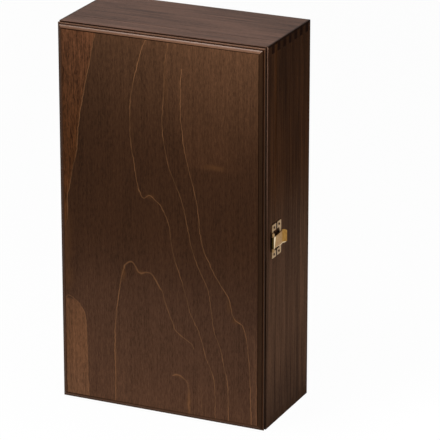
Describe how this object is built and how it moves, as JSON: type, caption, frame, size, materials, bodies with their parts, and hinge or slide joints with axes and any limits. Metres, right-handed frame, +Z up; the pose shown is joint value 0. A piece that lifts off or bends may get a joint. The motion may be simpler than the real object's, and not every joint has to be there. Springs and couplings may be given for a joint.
{
  "type": "wooden wine box",
  "caption": "Upright stained wooden box for bottles, with finger-jointed corners, a hinged lid with a moulded edge and a small brass clasp.",
  "frame": {"origin": "middle of the face that the box stands on, on the outside of the bottom end board", "axes": "+Z up along the bottles, +X towards the clasp, -Y towards the lid's front, +Y towards the back panel"},
  "size_m": [0.2096, 0.1, 0.355],
  "materials": {
    "stained_wood": "dark walnut stain, satin",
    "veneered_panel": "dark walnut stain, satin",
    "plain_plywood": "unstained, sanded",
    "brass_sheet": "satin lacquered",
    "brass_lever": "satin lacquered",
    "brass_pins": "satin"
  },
  "bodies": {
    "box": {"side_board_right": "stained_wood", "side_board_left": "stained_wood", "end_board_top": "stained_wood", "end_board_bottom": "stained_wood", "back_panel": "veneered_panel", "divider": "plain_plywood", "catch_plate": "brass_sheet", "catch_plate_nails": "brass_pins", "upper_hinge_box_leaf": "brass_sheet", "upper_hinge_box_nails": "brass_pins", "upper_hinge_pin": "brass_pins", "lower_hinge_box_leaf": "brass_sheet", "lower_hinge_box_nails": "brass_pins", "lower_hinge_pin": "brass_pins"},
    "lid": {"lid_panel": "veneered_panel", "lid_rail_right": "stained_wood", "lid_rail_left": "stained_wood", "lid_rail_top": "stained_wood", "lid_rail_bottom": "stained_wood", "clasp_plate": "brass_sheet", "clasp_plate_nails": "brass_pins", "clasp_pin": "brass_pins", "upper_hinge_lid_leaf": "brass_sheet", "upper_hinge_lid_nails": "brass_pins", "lower_hinge_lid_leaf": "brass_sheet", "lower_hinge_lid_nails": "brass_pins"},
    "lever": {"clasp_lever": "brass_lever"}
  },
  "joints": [
    {"name": "lid_hinge", "type": "hinge", "parent": "box", "child": "lid", "pos_m": [-0.1023, -0.02365, 0.1775], "axis": [0, 0, -1], "range_deg": [0, 180]},
    {"name": "clasp_lever_hinge", "type": "hinge", "parent": "lid", "child": "lever", "pos_m": [0.1018, -0.0341, 0.1745], "axis": [0, 0, -1], "range_deg": [0, 165]}
  ]
}
